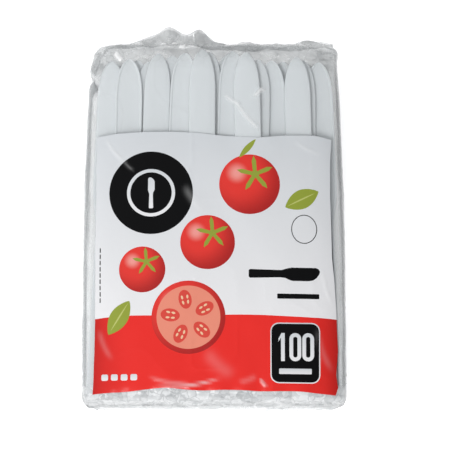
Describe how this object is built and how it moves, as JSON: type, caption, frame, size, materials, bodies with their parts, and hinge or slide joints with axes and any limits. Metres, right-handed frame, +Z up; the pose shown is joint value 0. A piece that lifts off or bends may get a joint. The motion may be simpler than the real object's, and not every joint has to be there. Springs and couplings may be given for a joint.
{
  "type": "plastic cutlery pack",
  "caption": "White plastic knives laid side by side in a clear film bag with a printed front, lying on its back.",
  "frame": {"origin": "centre of the pack's box, at the flat underside it lies on", "axes": "+X across the pack, +Y towards the knife tips, +Z up through the printed front"},
  "size_m": [0.1258, 0.1834, 0.0434],
  "materials": {
    "clear_film": "clear glossy film, wrinkled",
    "white_plastic": "moulded white plastic, slight gloss",
    "white_print": "white ink on glossy film",
    "red_print": "red ink on glossy film",
    "black_print": "black ink on glossy film",
    "tomato_print": "deep red ink on glossy film",
    "flesh_print": "pale orange ink on glossy film",
    "leaf_print": "olive green ink on glossy film"
  },
  "bodies": {
    "root": {"film_bag": "clear_film", "knife_01": "white_plastic", "knife_02": "white_plastic", "knife_03": "white_plastic", "knife_04": "white_plastic", "knife_05": "white_plastic", "knife_06": "white_plastic", "knife_07": "white_plastic", "knife_08": "white_plastic", "knife_09": "white_plastic", "knife_10": "white_plastic", "knife_11": "white_plastic", "knife_12": "white_plastic", "knife_13": "white_plastic", "knife_14": "white_plastic", "knife_15": "white_plastic", "knife_16": "white_plastic", "knife_17": "white_plastic", "knife_18": "white_plastic", "knife_19": "white_plastic", "knife_20": "white_plastic", "knife_21": "white_plastic", "knife_22": "white_plastic", "knife_23": "white_plastic", "knife_24": "white_plastic", "knife_25": "white_plastic", "knife_26": "white_plastic", "knife_27": "white_plastic", "knife_28": "white_plastic", "knife_29": "white_plastic", "knife_30": "white_plastic", "knife_31": "white_plastic", "knife_32": "white_plastic", "knife_stack_01": "white_plastic", "knife_stack_02": "white_plastic", "knife_stack_03": "white_plastic", "knife_stack_04": "white_plastic", "knife_stack_05": "white_plastic", "knife_stack_06": "white_plastic", "knife_stack_07": "white_plastic", "knife_stack_08": "white_plastic", "white_panel": "white_print", "red_band": "red_print", "badge_disc": "black_print", "badge_plate_ring": "white_print", "knife_sign": "black_print", "count_plate": "black_print", "digit_one": "white_print", "digit_zero_left": "white_print", "digit_zero_right": "white_print", "tomato_upper": "tomato_print", "tomato_middle": "tomato_print", "tomato_lower": "tomato_print", "cut_tomato": "tomato_print", "cut_tomato_flesh": "flesh_print", "leaf_upper": "leaf_print", "leaf_lower": "leaf_print", "tomato_stalk": "leaf_print"}
  },
  "joints": []
}
